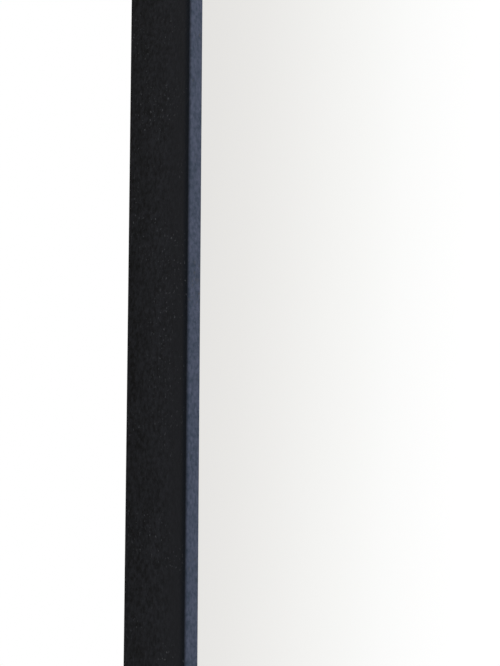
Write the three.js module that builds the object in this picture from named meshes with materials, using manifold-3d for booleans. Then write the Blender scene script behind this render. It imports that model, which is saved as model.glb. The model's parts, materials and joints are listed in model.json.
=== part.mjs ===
import * as THREE from "three";
import { mergeVertices } from "three/addons/utils/BufferGeometryUtils.js";
import Module from "manifold-3d";

// A framed closet mirror that pulls out on two ball runners and swivels to face the room.
// Millimetres, +Z up. While it is stored the mirror faces -Y, and it pulls out towards -X.
// The origin is the middle of the front mounting bar's back face, which rests on the closet's side panel.

const wasm = await Module();
wasm.setup();

// Fits and cutting
const seat = 0.1; // between faces that rest on each other
const running = 0.3; // between pieces that slide, turn or are screwed together
const overrun = 1; // how far a cutting tool passes beyond what it cuts
const mergeDistance = 1e-4;

// Roundness, in steps
const arcSteps = 5;
const boreSteps = 20;
const screwSteps = 12;
const turnedSteps = 32;

// Mirror frame: u runs inwards from the frame's outer side, v from its front to its back
const mirrorWidth = 370;
const mirrorHeight = 1200;
const frameDepth = 22;
const frameWall = 1.6;
const frontEdgeRadius = 0.6;
const lipWidth = 4.5;
const lipThickness = 1.6;
const chamberWidth = 14;
const chamberWall = 1.4;
const mitreSetback = seat / Math.SQRT2;

// Glass, seal and backing board
const glassThickness = 4;
const glassArris = 0.4;
const glassClearance = 0.8;
const sealThickness = 0.6;
const sealReveal = 0.3;
const boardThickness = 3;

// Corner keys and what screws into them
const keyLeg = 48;
const keyScrewReach = 34;
const cornerScrew = { headRadius: 3.2, headHeight: 1.8, shankRadius: 1.6, length: 6 };

// Pivots
const pinRadius = 2.5;
const pinHeadRadius = 5.5;
const pinHeadHeight = 3;
const pinReach = 15;
const bushWall = 0.9;
const bushFlangeReach = 2;
const bushFlange = 1;
const bushReach = 13;
const washerReach = 4;
const washerThickness = 2;
const bracketThickness = 4;
const bracketEyeRadius = 9;
const bracketScrew = { headRadius: 3.2, headHeight: 1.8, shankRadius: 1.6, length: 18 };

// Runners: p runs from the rail's back towards the room side, q is up
const railHeight = 45;
const railDepth = 12.7;
const railSheet = 1.5;
const railLip = 3.1;
const middleLip = 3.1;
const middleSetback = 0.7;
const innerProud = 0.5;
const outerBallRadius = 1.6;
const innerBallRadius = 1.4;
const ballColumns = 6;
const ballRings = 4;
const ballsPerRow = 6;
const cageLength = 160;
const cageSheet = 0.8;
const cageMargin = 8;
const cageFlangeReach = 0.5;
const runnerSpacing = 520;
const railHoleRadius = 2.4;
const railSlotLength = 10;
const railSlotHeight = 4.6;
const railSlotPitch = 70;
const railSlotInset = 22;

// Mounting bars on the closet's side panel
const barWidth = 30;
const barThickness = 3;
const barOverhang = 30;
const barCornerRadius = 6;
const barHoleRadius = 2.6;
const barHoleInset = 13;
const railFrontReach = 40;
const railRearReach = 60;

// Carriage
const mirrorOverhang = 10;
const postSetback = 9;
const postWidth = 25;
const postDepth = 12;
const postWall = 1.5;
const postEdgeRadius = 0.8;
const portInset = 4;
const swingGap = 5;
const carriageBarGrip = 30;
const carriageBarThickness = 3;
const carriageScrewInset = 15;
const carriageScrew = { headRadius: 3.6, headHeight: 2, shankRadius: 2, length: 6 };

// Catch and bumpers
const catchWidth = 14;
const catchHeight = 46;
const catchEdgeRadius = 2;
const magnetWidth = 8;
const magnetHeight = 30;
const magnetDepth = 5;
const magnetProud = 0.8;
const strikeWidth = 12;
const strikeThickness = 1.2;
const strikeMargin = 1.5;
const strikeScrew = { headRadius: 2.8, headHeight: 1.5, shankRadius: 1.4, length: 5 };
const bumperRadius = 6;
const bumperTipRadius = 4;
const bumperInset = 60;

// Screw details
const screwTip = 0.6;
const headEdge = 0.5;
const socketShare = 0.45; // of the head's radius
const socketDepthShare = 0.6; // of the head's height

// Places across the mirror's frame
const sealFront = lipThickness + seat;
const glassFront = sealFront + sealThickness + seat;
const glassBack = glassFront + glassThickness;
const boardFront = glassBack + seat;
const boardBack = boardFront + boardThickness;
const webFront = boardBack + seat;
const webBack = webFront + chamberWall;
const chamberBack = frameDepth - chamberWall;
const chamberInside = chamberWidth - chamberWall;
const chamberCentre = (frameWall + chamberInside) / 2;
const pivotDepth = (webBack + chamberBack) / 2;

// Places across the runners
const outerRowHeight = railHeight / 2 - railSheet - running - outerBallRadius;
const middleHalf = outerRowHeight - outerBallRadius - running;
const outerCageBack = railSheet + running;
const middleBack = outerCageBack + cageSheet + running;
const middleFront = railDepth - middleSetback;
const outerRowDepth = railDepth / 2;
const innerRowHeight = middleHalf - railSheet - running - innerBallRadius;
const innerHalf = innerRowHeight - innerBallRadius - running;
const innerCageBack = middleBack + railSheet + running;
const innerBack = innerCageBack + cageSheet + running;
const innerFront = railDepth + innerProud;
const innerRowDepth = (middleBack + middleFront) / 2;

// The rails stop short of the mirror at both ends, and the cages wait in the middle of them
const railLength = mirrorWidth - 2 * mirrorOverhang;
const cageStart = (railLength - cageLength) / 2;

// Places along the pull, all from the front mounting bar
const railFrontX = -railFrontReach;
const railRearX = railFrontX + railLength;
const rearBarX = railRearX - railRearReach;
const mirrorLeftX = railFrontX - mirrorOverhang;
const mirrorRightX = mirrorLeftX + mirrorWidth;
const mirrorCentreX = (mirrorLeftX + mirrorRightX) / 2;
const pivotX = mirrorLeftX + chamberCentre;
const postLeftX = railFrontX + postSetback;
const postRightX = postLeftX + postWidth;
const postCentreX = (postLeftX + postRightX) / 2;
const carriageBarLeftX = railRearX - carriageBarGrip;
const carriageBarX = (carriageBarLeftX + mirrorRightX) / 2;
const rearScrewX = carriageBarLeftX + carriageScrewInset;
const catchX = mirrorRightX - chamberWidth / 2;
const strikeScrewReach = catchHeight / 2 + strikeMargin + strikeScrew.headRadius;
const strikeHeight = 2 * (strikeScrewReach + strikeScrew.headRadius + strikeMargin);

// Places out from the closet's side panel
const railBackY = -barThickness - seat;
const innerFaceY = railBackY - innerFront;
const postBackY = innerFaceY - seat;
const postFrontY = postBackY - postDepth;
const carriageBarFrontY = postBackY - carriageBarThickness;
const mirrorBackY = postFrontY - swingGap;
const mirrorFrontY = mirrorBackY - frameDepth;
const pivotY = mirrorFrontY + pivotDepth;

// Heights
const pivotGap = seat + bushFlange + seat + washerThickness + seat;
const postHeight = mirrorHeight + 2 * pivotGap - 2 * seat;
const bracketInsideZ = mirrorHeight / 2 + pivotGap;

// Finishes
const blackCoat = { color: 0x1d1d1f, roughness: 0.62, metalness: 0.3 };
const silvered = { color: 0xe8ebee, roughness: 0.03, metalness: 1 };
const darkRubber = { color: 0x15161a, roughness: 0.85, metalness: 0 };
const darkBoard = { color: 0x2c2b2a, roughness: 0.8, metalness: 0 };
const zincSteel = { color: 0xb9bcc0, roughness: 0.35, metalness: 1 };
const cageSteel = { color: 0xa59f8c, roughness: 0.4, metalness: 1 };
const blackSteel = { color: 0x202124, roughness: 0.55, metalness: 0.5 };
const castZinc = { color: 0x9a9da1, roughness: 0.5, metalness: 0.9 };
const brightPin = { color: 0xcdd0d3, roughness: 0.2, metalness: 1 };
const bushBrass = { color: 0xb08d4a, roughness: 0.35, metalness: 1 };
const blackPlastic = { color: 0x1a1b1d, roughness: 0.5, metalness: 0 };
const greyMagnet = { color: 0x3c3d40, roughness: 0.6, metalness: 0.2 };

// A geometry as a solid that can be joined and cut.
function toSolid(geometry) {
  const bare = geometry.clone();
  bare.deleteAttribute("normal");
  bare.deleteAttribute("uv");
  const merged = mergeVertices(bare, mergeDistance);
  const vertProperties = merged.attributes.position.array;
  const triVerts = new Uint32Array(merged.index.array);
  return new wasm.Manifold(new wasm.Mesh({ numProp: 3, vertProperties, triVerts }));
}

function toGeometry(solid) {
  const mesh = solid.getMesh();
  const geometry = new THREE.BufferGeometry();
  geometry.setAttribute("position", new THREE.BufferAttribute(mesh.vertProperties, 3));
  geometry.setIndex(new THREE.BufferAttribute(mesh.triVerts, 1));
  geometry.computeVertexNormals();
  return geometry;
}

function cut(geometry, tools) {
  return toGeometry(tools.reduce((solid, tool) => solid.subtract(toSolid(tool)), toSolid(geometry)));
}

function join(geometry, others) {
  return toGeometry(others.reduce((solid, other) => solid.add(toSolid(other)), toSolid(geometry)));
}

function polygon(points) {
  return new THREE.Shape(points.map(([x, y]) => new THREE.Vector2(x, y)));
}

function rectangle(left, bottom, right, top) {
  return polygon([[left, bottom], [right, bottom], [right, top], [left, top]]);
}

function roundedRectangle(width, height, radius) {
  const x = width / 2 - radius;
  const y = height / 2 - radius;
  const shape = new THREE.Shape();
  shape.absarc(x, y, radius, 0, Math.PI / 2);
  shape.absarc(-x, y, radius, Math.PI / 2, Math.PI);
  shape.absarc(-x, -y, radius, Math.PI, 1.5 * Math.PI);
  shape.absarc(x, -y, radius, 1.5 * Math.PI, 2 * Math.PI);
  shape.closePath();
  return shape;
}

function slotOutline(length, height) {
  const reach = (length - height) / 2;
  const shape = new THREE.Shape();
  shape.absarc(reach, 0, height / 2, -Math.PI / 2, Math.PI / 2);
  shape.absarc(-reach, 0, height / 2, Math.PI / 2, 1.5 * Math.PI);
  shape.closePath();
  return shape;
}

// A section drawn in XY, extruded along Z and centred on z = 0.
function extruded(section, length) {
  const options = { depth: length, bevelEnabled: false, curveSegments: arcSteps };
  return new THREE.ExtrudeGeometry(section, options).translate(0, 0, -length / 2);
}

// A flat piece drawn in XZ: its back face is at y = 0 and it is thick towards -Y.
function upright(outline, thickness) {
  const options = { depth: thickness, bevelEnabled: false, curveSegments: arcSteps };
  return new THREE.ExtrudeGeometry(outline, options).rotateX(Math.PI / 2);
}

// A round tool along one axis, centred on a point.
function bore(axis, radius, length, [x, y, z]) {
  const tool = new THREE.CylinderGeometry(radius, radius, length, boreSteps);
  if (axis === "x") tool.rotateZ(Math.PI / 2);
  if (axis === "z") tool.rotateX(Math.PI / 2);
  return tool.translate(x, y, z);
}

// A turned piece: its profile holds [radius, height] pairs, and its axis is Z.
function turned(profile, steps) {
  const points = profile.map(([radius, height]) => new THREE.Vector2(radius, height));
  return new THREE.LatheGeometry(points, steps).rotateX(Math.PI / 2);
}

// A screw along Z: its head stands on z = 0 and its shank points down.
function screw({ headRadius, headHeight, shankRadius, length }) {
  const body = turned([
    [0, -length],
    [shankRadius - screwTip, -length],
    [shankRadius, screwTip - length],
    [shankRadius, 0],
    [headRadius, 0],
    [headRadius, headHeight - headEdge],
    [headRadius - headEdge, headHeight],
    [0, headHeight],
  ], screwSteps);
  const socketRadius = socketShare * headRadius;
  const socketLength = 2 * socketDepthShare * headHeight;
  const socket = new THREE.CylinderGeometry(socketRadius, socketRadius, socketLength, 6);
  return cut(body, [socket.rotateX(Math.PI / 2).translate(0, 0, headHeight)]);
}

// Adds a named mesh with a material of its own to a group.
function addPiece(group, name, geometry, finish) {
  const mesh = new THREE.Mesh(geometry, new THREE.MeshStandardMaterial(finish));
  mesh.name = name;
  group.add(mesh);
  return mesh;
}

// One strip of a mitred loop: each end is cut back by u, so that four strips meet at 45 degrees.
function mitred(section, length) {
  const geometry = extruded(section, length);
  const place = geometry.attributes.position;
  for (let i = 0; i < place.count; i += 1) {
    const end = Math.sign(place.getZ(i));
    place.setZ(i, place.getZ(i) - end * (place.getX(i) + mitreSetback));
  }
  return geometry;
}

// The four sides of the mirror: a strip is drawn as the left stile, then turned about Y into its place.
const mirrorSides = [
  { side: "left_stile", seal: "left_glass_seal", length: mirrorHeight, turn: 0, x: -mirrorWidth / 2, z: 0 },
  { side: "top_rail", seal: "top_glass_seal", length: mirrorWidth, turn: Math.PI / 2, x: 0, z: mirrorHeight / 2 },
  { side: "right_stile", seal: "right_glass_seal", length: mirrorHeight, turn: Math.PI, x: mirrorWidth / 2, z: 0 },
  { side: "bottom_rail", seal: "bottom_glass_seal", length: mirrorWidth, turn: -Math.PI / 2, x: 0,
    z: -mirrorHeight / 2 },
];

function frameSection() {
  const section = new THREE.Shape();
  section.moveTo(lipWidth, 0);
  section.lineTo(lipWidth, lipThickness);
  section.lineTo(frameWall, lipThickness);
  section.lineTo(frameWall, webFront);
  section.lineTo(chamberWidth, webFront);
  section.lineTo(chamberWidth, frameDepth);
  section.lineTo(0, frameDepth);
  section.lineTo(0, frontEdgeRadius);
  section.absarc(frontEdgeRadius, frontEdgeRadius, frontEdgeRadius, Math.PI, 1.5 * Math.PI);
  section.closePath();
  section.holes.push(rectangle(frameWall, webBack, chamberInside, chamberBack));
  return section;
}

// What each frame strip has bored in it: corner screws, the bush at its pivot end and the strike plate's screw.
function frameBores({ side, length }) {
  const backLength = 2 * (chamberWall + overrun);
  const cornerReach = length / 2 - keyScrewReach;
  const screwHole = cornerScrew.shankRadius + running;
  const bores = [-cornerReach, cornerReach].map(
    (z) => bore("y", screwHole, backLength, [chamberCentre, frameDepth, z]),
  );
  const bushHole = pinRadius + running + bushWall + running;
  const bushLength = 2 * (frameWall + overrun);
  const pivotReach = length / 2 - chamberCentre;
  if (side === "top_rail") bores.push(bore("x", bushHole, bushLength, [0, pivotDepth, -pivotReach]));
  if (side === "bottom_rail") bores.push(bore("x", bushHole, bushLength, [0, pivotDepth, pivotReach]));
  if (side === "right_stile") {
    const strikeHole = strikeScrew.shankRadius + running;
    for (const z of [-strikeScrewReach, strikeScrewReach]) {
      bores.push(bore("y", strikeHole, backLength, [chamberWidth / 2, frameDepth, z]));
    }
  }
  return bores;
}

function sealSection() {
  return rectangle(frameWall + running, sealFront, lipWidth + sealReveal, sealFront + sealThickness);
}

function addFrame(mirror) {
  for (const place of mirrorSides) {
    const strip = new THREE.Group();
    strip.position.set(place.x, 0, place.z);
    strip.rotation.y = place.turn;
    mirror.add(strip);
    addPiece(strip, place.side, cut(mitred(frameSection(), place.length), frameBores(place)), blackCoat);
    addPiece(strip, place.seal, mitred(sealSection(), place.length), darkRubber);
  }
}

// The glass has a small arris all round; the board behind it is a plain sheet with the same outline.
function addGlassAndBoard(mirror) {
  const width = mirrorWidth - 2 * (frameWall + glassClearance);
  const height = mirrorHeight - 2 * (frameWall + glassClearance);
  const sheet = new THREE.ExtrudeGeometry(rectangle(-width / 2, -height / 2, width / 2, height / 2), {
    depth: glassThickness - 2 * glassArris,
    bevelThickness: glassArris,
    bevelSize: glassArris,
    bevelOffset: -glassArris,
    bevelSegments: 1,
  });
  const glass = addPiece(mirror, "mirror_glass", sheet.rotateX(Math.PI / 2), silvered);
  glass.position.y = glassBack - glassArris;
  const board = addPiece(
    mirror,
    "backing_board",
    upright(roundedRectangle(width, height, glassArris), boardThickness),
    darkBoard,
  );
  board.position.y = boardBack;
}

// An L-shaped key in the frame's chamber, drawn from the frame's corner: both legs run inwards.
function cornerKey(sideX, sideZ) {
  const start = frameWall + running;
  const end = chamberInside - running;
  const depth = chamberBack - webBack - 2 * running;
  const outline = polygon(
    [[start, start], [keyLeg, start], [keyLeg, end], [end, end], [end, keyLeg], [start, keyLeg]]
      .map(([along, down]) => [-sideX * along, -sideZ * down]),
  );
  const screwHole = cornerScrew.shankRadius + running;
  const boreDepth = 2 * (cornerScrew.length + running);
  const tools = [
    bore("y", screwHole, boreDepth, [-sideX * keyScrewReach, 0, -sideZ * chamberCentre]),
    bore("y", screwHole, boreDepth, [-sideX * chamberCentre, 0, -sideZ * keyScrewReach]),
  ];
  if (sideX < 0) {
    const bushHole = pinRadius + running + bushWall + running;
    const bushLength = 2 * (pinReach + running);
    tools.push(bore("z", bushHole, bushLength, [-sideX * chamberCentre, -depth / 2, 0]));
  }
  return cut(upright(outline, depth), tools);
}

// The four corners, each with its key and the two screws that hold it from behind.
function addCorners(mirror) {
  const corners = [
    { name: "upper_left", sideX: -1, sideZ: 1 },
    { name: "upper_right", sideX: 1, sideZ: 1 },
    { name: "lower_left", sideX: -1, sideZ: -1 },
    { name: "lower_right", sideX: 1, sideZ: -1 },
  ];
  for (const { name, sideX, sideZ } of corners) {
    const corner = new THREE.Group();
    corner.position.set(sideX * mirrorWidth / 2, 0, sideZ * mirrorHeight / 2);
    mirror.add(corner);
    const key = addPiece(corner, `${name}_corner_key`, cornerKey(sideX, sideZ), castZinc);
    key.position.y = chamberBack - running;
    const stileScrew = addPiece(corner, `${name}_stile_screw`, screw(cornerScrew), blackSteel);
    stileScrew.position.set(-sideX * chamberCentre, frameDepth + seat, -sideZ * keyScrewReach);
    stileScrew.rotation.x = -Math.PI / 2;
    const railScrew = addPiece(corner, `${name}_rail_screw`, screw(cornerScrew), blackSteel);
    railScrew.position.set(-sideX * keyScrewReach, frameDepth + seat, -sideZ * chamberCentre);
    railScrew.rotation.x = -Math.PI / 2;
  }
}

// A flanged bush, drawn for the upper pivot: the flange lies on the frame and the sleeve points down.
function bush() {
  const inside = pinRadius + running;
  const outside = inside + bushWall;
  const flange = outside + bushFlangeReach;
  return turned([
    [inside, -bushReach],
    [outside, -bushReach],
    [outside, 0],
    [flange, 0],
    [flange, bushFlange],
    [inside, bushFlange],
    [inside, -bushReach],
  ], turnedSteps);
}

function addBushes(mirror) {
  const upper = addPiece(mirror, "upper_pivot_bush", bush(), bushBrass);
  upper.position.set(chamberCentre - mirrorWidth / 2, pivotDepth, mirrorHeight / 2 + seat);
  const lower = addPiece(mirror, "lower_pivot_bush", bush(), bushBrass);
  lower.position.set(chamberCentre - mirrorWidth / 2, pivotDepth, -mirrorHeight / 2 - seat);
  lower.rotation.x = Math.PI;
}

// The steel plate that the catch's magnet holds, screwed to the back of the right stile.
function addStrike(mirror) {
  const strikeX = (mirrorWidth - chamberWidth) / 2;
  const hole = strikeScrew.shankRadius + running;
  const holes = [-strikeScrewReach, strikeScrewReach].map(
    (z) => bore("y", hole, 2 * (strikeThickness + overrun), [0, 0, z]),
  );
  const plate = upright(roundedRectangle(strikeWidth, strikeHeight, catchEdgeRadius), strikeThickness);
  const strike = addPiece(mirror, "strike_plate", cut(plate, holes), zincSteel);
  strike.position.set(strikeX, frameDepth + seat + strikeThickness, 0);
  for (const [name, z] of [["upper", strikeScrewReach], ["lower", -strikeScrewReach]]) {
    const fixing = addPiece(mirror, `${name}_strike_plate_screw`, screw(strikeScrew), zincSteel);
    fixing.position.set(strikeX, frameDepth + seat + strikeThickness + seat, z);
    fixing.rotation.x = -Math.PI / 2;
  }
}

function makeMirror() {
  const mirror = new THREE.Group();
  mirror.position.set(mirrorCentreX, mirrorFrontY, 0);
  addFrame(mirror);
  addGlassAndBoard(mirror);
  addCorners(mirror);
  addBushes(mirror);
  addStrike(mirror);
  return mirror;
}

// A rail or cage section: a web with a flange at each end, open towards p = mouth.
function channelSection(web, mouth, half, sheet) {
  const inside = web + Math.sign(mouth - web) * sheet;
  return polygon([
    [web, -half], [mouth, -half], [mouth, sheet - half], [inside, sheet - half],
    [inside, half - sheet], [mouth, half - sheet], [mouth, half], [web, half],
  ]);
}

// The same with its flanges' edges turned in, which keeps the balls in the rail.
function lippedSection(web, mouth, half, lip) {
  const inside = web + railSheet;
  const behindLip = mouth - railSheet;
  const upper = half - railSheet;
  return polygon([
    [web, -half], [mouth, -half], [mouth, lip - half], [behindLip, lip - half], [behindLip, -upper],
    [inside, -upper], [inside, upper], [behindLip, upper], [behindLip, half - lip], [mouth, half - lip],
    [mouth, half], [web, half],
  ]);
}

// Rails and cages start at the rear end of their runner, z = 0 in its group, and run towards the room.
function railBar(section, start, length) {
  return extruded(section, length).translate(0, 0, start + length / 2);
}

// What is punched in a rail's web: round holes in line with the carriage screws, and a row of slots.
function railHoles(depth, screwPlaces) {
  const reach = 2 * (railSheet + overrun);
  const holes = screwPlaces.map((z) => bore("x", railHoleRadius, reach, [depth, 0, z]));
  const row = railLength - 2 * railSlotInset;
  const count = Math.floor(row / railSlotPitch);
  for (let i = 1; i <= count; i += 1) {
    const slot = extruded(slotOutline(railSlotLength, railSlotHeight), reach).rotateY(Math.PI / 2);
    holes.push(slot.translate(depth, 0, railSlotInset + (i * row) / (count + 1)));
  }
  return holes;
}

// A cage with its balls, each ball held in a flange: one piece, as they leave the factory.
function ballCage(back, rowDepth, rowHeight, ballRadius) {
  const mouth = rowDepth + ballRadius + cageFlangeReach;
  const section = channelSection(back, mouth, rowHeight + cageSheet / 2, cageSheet);
  const pitch = (cageLength - 2 * cageMargin) / (ballsPerRow - 1);
  const balls = [];
  for (const side of [-1, 1]) {
    for (let i = 0; i < ballsPerRow; i += 1) {
      const ball = new THREE.SphereGeometry(ballRadius, ballColumns, ballRings);
      balls.push(ball.translate(rowDepth, side * rowHeight, cageStart + cageMargin + i * pitch));
    }
  }
  return join(railBar(section, cageStart, cageLength), balls);
}

// A group whose X is out from the panel, Y up and Z along the pull, at the rear end of a runner.
function runnerGroup(height) {
  const runner = new THREE.Group();
  const out = new THREE.Vector3(0, -1, 0);
  const up = new THREE.Vector3(0, 0, 1);
  const pull = new THREE.Vector3(-1, 0, 0);
  runner.setRotationFromMatrix(new THREE.Matrix4().makeBasis(out, up, pull));
  runner.position.set(railRearX, railBackY, height);
  return runner;
}

function makeRunner(name, height) {
  const runner = runnerGroup(height);
  const frontScrew = railRearX - postCentreX;
  const rearScrew = railRearX - rearScrewX;
  const screwPlaces = [rearScrew, frontScrew];
  const outer = railBar(lippedSection(0, railDepth, railHeight / 2, railLip), 0, railLength);
  addPiece(runner, `${name}_outer_rail`, cut(outer, railHoles(0, screwPlaces)), zincSteel);
  const middle = railBar(lippedSection(middleBack, middleFront, middleHalf, middleLip), 0, railLength);
  addPiece(runner, `${name}_middle_rail`, cut(middle, railHoles(middleBack, screwPlaces)), zincSteel);
  const inner = railBar(channelSection(innerFront, innerBack, innerHalf, railSheet), 0, railLength);
  addPiece(runner, `${name}_inner_rail`, cut(inner, railHoles(innerFront, screwPlaces)), zincSteel);
  const outerCage = ballCage(outerCageBack, outerRowDepth, outerRowHeight, outerBallRadius);
  addPiece(runner, `${name}_outer_ball_cage`, outerCage, cageSteel);
  const innerCage = ballCage(innerCageBack, innerRowDepth, innerRowHeight, innerBallRadius);
  addPiece(runner, `${name}_inner_ball_cage`, innerCage, cageSteel);
  const fixings = [["rear", rearScrew], ["front", frontScrew]];
  for (const [end, z] of fixings) {
    const fixing = addPiece(runner, `${name}_${end}_carriage_screw`, screw(carriageScrew), zincSteel);
    fixing.position.set(innerFront - railSheet - seat, 0, z);
    fixing.rotation.y = -Math.PI / 2;
  }
  return runner;
}

// The two bars that are screwed to the closet's side panel and carry the outer rails.
function makeMountingBars() {
  const bars = new THREE.Group();
  const height = runnerSpacing + railHeight + 2 * barOverhang;
  const holeReach = height / 2 - barHoleInset;
  const holes = [-holeReach, holeReach].map(
    (z) => bore("y", barHoleRadius, 2 * (barThickness + overrun), [0, 0, z]),
  );
  const outline = roundedRectangle(barWidth, height, barCornerRadius);
  addPiece(bars, "front_mounting_bar", cut(upright(outline, barThickness), holes), blackSteel);
  const rear = addPiece(bars, "rear_mounting_bar", cut(upright(outline, barThickness), holes), blackSteel);
  rear.position.x = rearBarX;
  return bars;
}

// The carriage post: a hollow aluminium extrusion with a round screw port at each end of its section.
function makePost() {
  const section = roundedRectangle(postWidth, postDepth, postEdgeRadius);
  const portReach = postWidth / 2 - portInset;
  const portRadius = bracketScrew.shankRadius + running;
  for (const x of [-portReach, portReach]) {
    const port = new THREE.Path();
    port.absarc(x, 0, portRadius, 0, 2 * Math.PI);
    section.holes.push(port);
  }
  const hollow = portReach - portRadius - postWall;
  const hollowDepth = postDepth / 2 - postWall;
  section.holes.push(rectangle(-hollow, -hollowDepth, hollow, hollowDepth));
  const screwHole = carriageScrew.shankRadius + running;
  const holes = [-runnerSpacing / 2, runnerSpacing / 2].map(
    (z) => bore("y", screwHole, 2 * (postWall + overrun), [0, postDepth / 2, z]),
  );
  return cut(extruded(section, postHeight), holes);
}

// Where a line from a point touches a circle, as an angle round the circle.
function tangentAngle([x, y], [centreX, centreY], radius, side) {
  const distance = Math.hypot(x - centreX, y - centreY);
  return Math.atan2(y - centreY, x - centreX) + side * Math.acos(radius / distance);
}

// A pivot bracket, drawn for the top: a plate on the post's end that narrows to a round eye over the pivot.
function pivotBracket() {
  const centre = [pivotX, pivotY];
  const roomCorner = [postRightX, postFrontY];
  const backCorner = [postLeftX, postBackY];
  const first = tangentAngle(roomCorner, centre, bracketEyeRadius, -1);
  const last = tangentAngle(backCorner, centre, bracketEyeRadius, 1);
  const outline = new THREE.Shape();
  outline.moveTo(...backCorner);
  outline.absarc(pivotX, pivotY, bracketEyeRadius, last, first);
  outline.lineTo(...roomCorner);
  outline.lineTo(postRightX, postBackY);
  outline.closePath();
  const reach = 2 * (bracketThickness + overrun);
  const portReach = postWidth / 2 - portInset;
  const portY = (postBackY + postFrontY) / 2;
  const tools = [bore("z", pinRadius + running, reach, [pivotX, pivotY, 0])];
  for (const x of [postCentreX - portReach, postCentreX + portReach]) {
    tools.push(bore("z", bracketScrew.shankRadius + running, reach, [x, portY, 0]));
  }
  return cut(extruded(outline, bracketThickness), tools);
}

// A pivot pin along Z: its head stands on z = 0 and its shank points down, with a hex socket on top.
function pivotPin() {
  return screw({
    headRadius: pinHeadRadius,
    headHeight: pinHeadHeight,
    shankRadius: pinRadius,
    length: seat + bracketThickness + pivotGap + pinReach,
  });
}

function washer() {
  const inside = pinRadius + running;
  const outside = inside + washerReach;
  return turned([
    [inside, 0], [outside, 0], [outside, washerThickness], [inside, washerThickness], [inside, 0],
  ], turnedSteps);
}

// One end of the carriage, drawn for the top and turned over about X for the bottom.
function makeCarriageEnd(name, side) {
  const end = new THREE.Group();
  const bracket = addPiece(end, `${name}_pivot_bracket`, pivotBracket(), blackSteel);
  bracket.position.z = side * (bracketInsideZ + bracketThickness / 2);
  const turn = side > 0 ? 0 : Math.PI;
  const outsideZ = side * (bracketInsideZ + bracketThickness + seat);
  const pin = addPiece(end, `${name}_pivot_pin`, pivotPin(), brightPin);
  pin.position.set(pivotX, pivotY, outsideZ);
  pin.rotation.x = turn;
  const washerZ = side * (mirrorHeight / 2 + seat + bushFlange + seat);
  const ring = addPiece(end, `${name}_pivot_washer`, washer(), blackPlastic);
  ring.position.set(pivotX, pivotY, washerZ);
  ring.rotation.x = turn;
  const portReach = postWidth / 2 - portInset;
  const portY = (postBackY + postFrontY) / 2;
  for (const [place, x] of [["front", postCentreX - portReach], ["rear", postCentreX + portReach]]) {
    const fixing = addPiece(end, `${name}_${place}_bracket_screw`, screw(bracketScrew), blackSteel);
    fixing.position.set(x, portY, outsideZ);
    fixing.rotation.x = turn;
  }
  return end;
}

// The catch's housing: its back lies on the carriage bar, and its front has a pocket for the magnet.
function catchHousing(depth) {
  const body = upright(roundedRectangle(catchWidth, catchHeight, catchEdgeRadius), depth);
  const pocketWidth = magnetWidth + 2 * running;
  const pocketHeight = magnetHeight + 2 * running;
  const pocketDepth = magnetDepth - magnetProud + running;
  const pocket = upright(
    rectangle(-pocketWidth / 2, -pocketHeight / 2, pocketWidth / 2, pocketHeight / 2),
    pocketDepth + overrun,
  );
  return cut(body, [pocket.translate(0, pocketDepth - depth, 0)]);
}

// A rubber bumper along Z, with its base on z = 0 and a domed tip.
function bumper(length) {
  const dome = bumperRadius - bumperTipRadius;
  const profile = [[0, 0], [bumperRadius, 0]];
  for (let i = 0; i <= arcSteps; i += 1) {
    const angle = (i / arcSteps) * Math.PI / 2;
    profile.push([bumperTipRadius + dome * Math.cos(angle), length - dome + dome * Math.sin(angle)]);
  }
  profile.push([0, length]);
  return turned(profile, turnedSteps);
}

// The rear bar, which joins the inner rails' rear ends and holds the mirror closed.
function makeCarriageBar() {
  const group = new THREE.Group();
  const width = mirrorRightX - carriageBarLeftX;
  const height = runnerSpacing + railHeight;
  const screwHole = carriageScrew.shankRadius + running;
  const holes = [-runnerSpacing / 2, runnerSpacing / 2].map(
    (z) => bore("y", screwHole, 2 * (carriageBarThickness + overrun), [rearScrewX - carriageBarX, 0, z]),
  );
  const outline = roundedRectangle(width, height, barCornerRadius);
  const bar = addPiece(group, "carriage_bar", cut(upright(outline, carriageBarThickness), holes), blackSteel);
  bar.position.set(carriageBarX, postBackY, 0);
  const magnetFrontY = mirrorBackY + seat + strikeThickness + running;
  const housingFrontY = magnetFrontY + magnetProud;
  const housingBackY = carriageBarFrontY - seat;
  const housing = addPiece(group, "catch_housing", catchHousing(housingBackY - housingFrontY), blackPlastic);
  housing.position.set(catchX, housingBackY, 0);
  const magnetOutline = rectangle(-magnetWidth / 2, -magnetHeight / 2, magnetWidth / 2, magnetHeight / 2);
  const magnet = addPiece(group, "catch_magnet", upright(magnetOutline, magnetDepth), greyMagnet);
  magnet.position.set(catchX, magnetFrontY + magnetDepth, 0);
  const bumperLength = carriageBarFrontY - seat - mirrorBackY - running;
  for (const [name, side] of [["upper", 1], ["lower", -1]]) {
    const stop = addPiece(group, `${name}_bumper`, bumper(bumperLength), darkRubber);
    stop.position.set(catchX, carriageBarFrontY - seat, side * (runnerSpacing / 2 - bumperInset));
    stop.rotation.x = Math.PI / 2;
  }
  return group;
}

function makeCarriage() {
  const carriage = new THREE.Group();
  const post = addPiece(carriage, "carriage_post", makePost(), blackCoat);
  post.position.set(postCentreX, (postBackY + postFrontY) / 2, 0);
  carriage.add(makeCarriageEnd("upper", 1));
  carriage.add(makeCarriageEnd("lower", -1));
  carriage.add(makeCarriageBar());
  return carriage;
}

const group = new THREE.Group();
group.add(makeMountingBars());
group.add(makeRunner("upper", runnerSpacing / 2));
group.add(makeRunner("lower", -runnerSpacing / 2));
group.add(makeCarriage());
group.add(makeMirror());

export default group;
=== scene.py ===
import json
import math

import bmesh
import bpy
from mathutils import Matrix, Vector

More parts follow.
